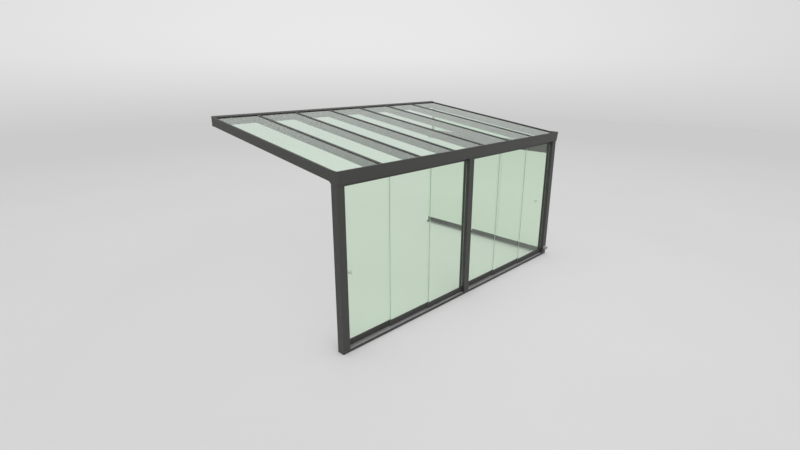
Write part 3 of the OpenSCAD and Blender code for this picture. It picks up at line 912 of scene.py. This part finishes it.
# ---- Sliding sheets ---------------------------------------------------------------------
# Nine sheets of 8 mm toughened glass stand in extruded shoes that roll on the floor tracks.
# Two of each three slide, and the third stays. Rubber wedges hold the glass in the shoe.
SHOE_TOP = corners_of("shoe_left_outer")[1][2]
SHOE_EDGE = 0.0006
shoe_coat = powder_coat("shoe_coat", shade(COAT, 1.05), rough=0.46)
MOVING = {
    "left_outer": (0, 1, 0), "left_middle": (0, 1, 0), "right_inner": (0, 1, 0),
    "right_middle": (0, 1, 0), "side_front": (1, 0, 0), "side_middle": (1, 0, 0),
}
for body, square in MOVING.items():
    glass = side_glass if square[0] else wall_glass
    glass_piece("sheet_" + body, "glass_" + body, square, glass, body)
    eased_piece("shoe_" + body, "glass_shoe_" + body, SHOE_EDGE, [shoe_coat], body)

# The three sheets that stay are one node: those of the front stand before FRONT_DEEP, and the
# side wall's behind it, where the broad faces look along X
FRONT_DEEP = 0.06
fixed_glass = [wall_glass, glass_edge, side_glass]
fixed = eased_piece("fixed_sheets", "glass_fixed", ARRIS, fixed_glass)
fixed_normals = face_vectors(fixed.data, "normal")
on_side = face_vectors(fixed.data, "center")[:, 1] > FRONT_DEEP
square_share = np.where(on_side, fixed_normals[:, 0], fixed_normals[:, 1])
set_finishes(fixed, np.where(np.abs(square_share) < 0.9, 1, np.where(on_side, 2, 0)))
eased_piece("fixed_shoes", "glass_shoes_fixed", SHOE_EDGE, [shoe_coat])


def fixed_box(part):
    """The lowest and highest corner of one of the three sheets that stay."""
    points = np.zeros(len(fixed.data.vertices) * 3)
    fixed.data.vertices.foreach_get("co", points)
    points = points.reshape(-1, 3)
    chosen = {
        "left": points[:, 0] < 0,
        "right": (points[:, 0] > 0) & (points[:, 1] < FRONT_DEEP),
        "side": points[:, 1] > FRONT_DEEP,
    }[part]
    return points[chosen].min(0), points[chosen].max(0)


# Each bay from its start: the body and the corners of its three sheets
bays = {}
for bay_name, leading, following in (("left", "left_outer", "left_middle"),
                                     ("right", "right_inner", "right_middle"),
                                     ("side", "side_front", "side_middle")):
    bays[bay_name] = [(body, corners_of("sheet_" + body)) for body in (leading, following)]
    bays[bay_name].append(("frame", fixed_box(bay_name)))


def sheet_line(low, high):
    """The start and the end of a sheet's foot, and the direction square to the sheet."""
    middle = (low + high) / 2
    if high[0] - low[0] > high[1] - low[1]:
        line = (low[0], middle[1], 0.0), (high[0], middle[1], 0.0), (0.0, 1.0, 0.0)
    else:
        line = (middle[0], low[1], 0.0), (middle[0], high[1], 0.0), (1.0, 0.0, 0.0)
    return tuple(np.array(part) for part in line)


wedge_rubber = np.array([(0.0041, 0.0001), (0.0059, 0.0001), (0.0041, 0.0028)]) + (0, SHOE_TOP)
for bay_name, sheets in bays.items():
    for number, (body, (low, high)) in enumerate(sheets):
        start, end, square = sheet_line(low, high)
        strips = [
            skin(carried(wedge_rubber * (way, 1), [start, end], square, UP)) for way in (-1, 1)
        ]
        name = f"shoe_rubber_{bay_name}_{number + 1}"
        new_piece(name, build_mesh(name, strips), [black_rubber], body)

# Catches on the shoes: each sheet draws the next one shut with a small moulded hook
CATCH_LONG = 0.010
CATCH_LOW, CATCH_HIGH = 0.056, 0.082
SHOE_HALF = 0.006
CATCH_OUT = 0.003
for bay_name, sheets in bays.items():
    for number in (0, 1):
        for own, other, at_end in ((number, number + 1, True), (number + 1, number, False)):
            body, (low, high) = sheets[own]
            start, end, square = sheet_line(low, high)
            neighbour = sheet_line(*sheets[other][1])[0]
            way = np.sign((neighbour - start) @ square)
            run = (end - start) / np.linalg.norm(end - start)
            foot = end - run * CATCH_LONG if at_end else start
            block = oblong((0.0, SHOE_HALF), (CATCH_LONG, SHOE_HALF + CATCH_OUT), 0.0007) * (1, way)
            ends = [foot + (0, 0, CATCH_LOW), foot + (0, 0, CATCH_HIGH)]
            name = f"catch_{bay_name}_{own + 1}_{'end' if at_end else 'start'}"
            hook = skin(carried(block, ends, run, square))
            new_piece(name, build_mesh(name, [hook]), [plastic], body)


# ---- Knobs ------------------------------------------------------------------------------
# Turned, satin anodised aluminium knobs, bolted through the leading sheet of each bay at hand
# height, with a milky plastic washer at the glass and a flat disc on the other face.
satin = bare_metal("satin_anodised", (0.72, 0.72, 0.725, 1.0), 0.38, metallic=0.45)


def milky_plastic():
    """Pale moulded plastic with soft clouds in its tone and gloss."""
    material, tree, shader = new_material("milky_plastic")
    place = add(tree, "TexCoord").outputs["Object"]
    clouds = add(tree, "TexNoise", Vector=place, Scale=60.0, Detail=3.0).outputs["Fac"]
    deep, pale = (0.58, 0.60, 0.58, 1.0), (0.68, 0.70, 0.68, 1.0)
    tone = blend(tree, spread(tree, clouds, 0.35, 0.7), deep, pale)
    join(tree, tone, shader.inputs["Base Color"])
    join(tree, spread(tree, clouds, 0.3, 0.7, 0.35, 0.5), shader.inputs["Roughness"])
    return material


washer_plastic = milky_plastic()
# The grip's outline is part of a flattened oval: radius 24.5 mm times the cosine of the turn
# to the power 0.45, height 36.5 mm plus 10.5 mm times its sine
grip_turn = np.linspace(-1.15, math.pi / 2, 15)
grip_radius = 0.0245 * np.cos(grip_turn) ** 0.45
grip_height = 0.0365 + 0.0105 * np.sin(grip_turn)
knob_profile = np.concatenate([
    [(0.0, 0.0012), (0.0190, 0.0012), (0.0196, 0.0018), (0.0196, 0.0034), (0.0188, 0.0042)],
    [(0.0105, 0.0052), (0.0092, 0.0068), (0.0090, 0.0120), (0.0090, 0.0185), (0.0100, 0.0215)],
    np.stack([grip_radius[:-1], grip_height[:-1]], 1),
    [(0.0, 0.0470)],
])
washer_profile = [(0.006, 0.0001), (0.0200, 0.0001), (0.0200, 0.0011), (0.006, 0.0011)]
disc_profile = [(0.0, 0.0001), (0.0125, 0.0001), (0.0125, 0.0018), (0.0112, 0.0029), (0.0, 0.0030)]
for side, body, axis in (("left", "left_outer", (0, 1, 0)), ("right", "right_inner", (0, 1, 0)),
                         ("side", "side_front", (-1, 0, 0))):
    low, high = corners_of("knob_" + side)
    axis = np.array(axis, float)
    foot = (low + high) / 2
    foot = foot + axis * ((np.where(axis > 0, low, high) - foot) @ axis)
    grip = skin(stood(turned(knob_profile, 64), foot, axis), capped=False)
    disc = skin(stood(turned(disc_profile, 40), foot - axis * 2 * GLASS_HALF, -axis), capped=False)
    ring = skin(stood(turned(washer_profile, 40), foot, axis), closed_rows=True)
    grip_mesh = build_mesh("pull_knob_" + side, [grip])
    disc_mesh = build_mesh("bolt_disc_" + side, [disc])
    ring_mesh = build_mesh("knob_washer_" + side, [ring])
    grip_piece = new_piece("pull_knob_" + side, grip_mesh, [satin], body)
    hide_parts("knob_" + side)
    new_piece("bolt_disc_" + side, disc_mesh, [satin], body)
    new_piece("knob_washer_" + side, ring_mesh, [washer_plastic], body)
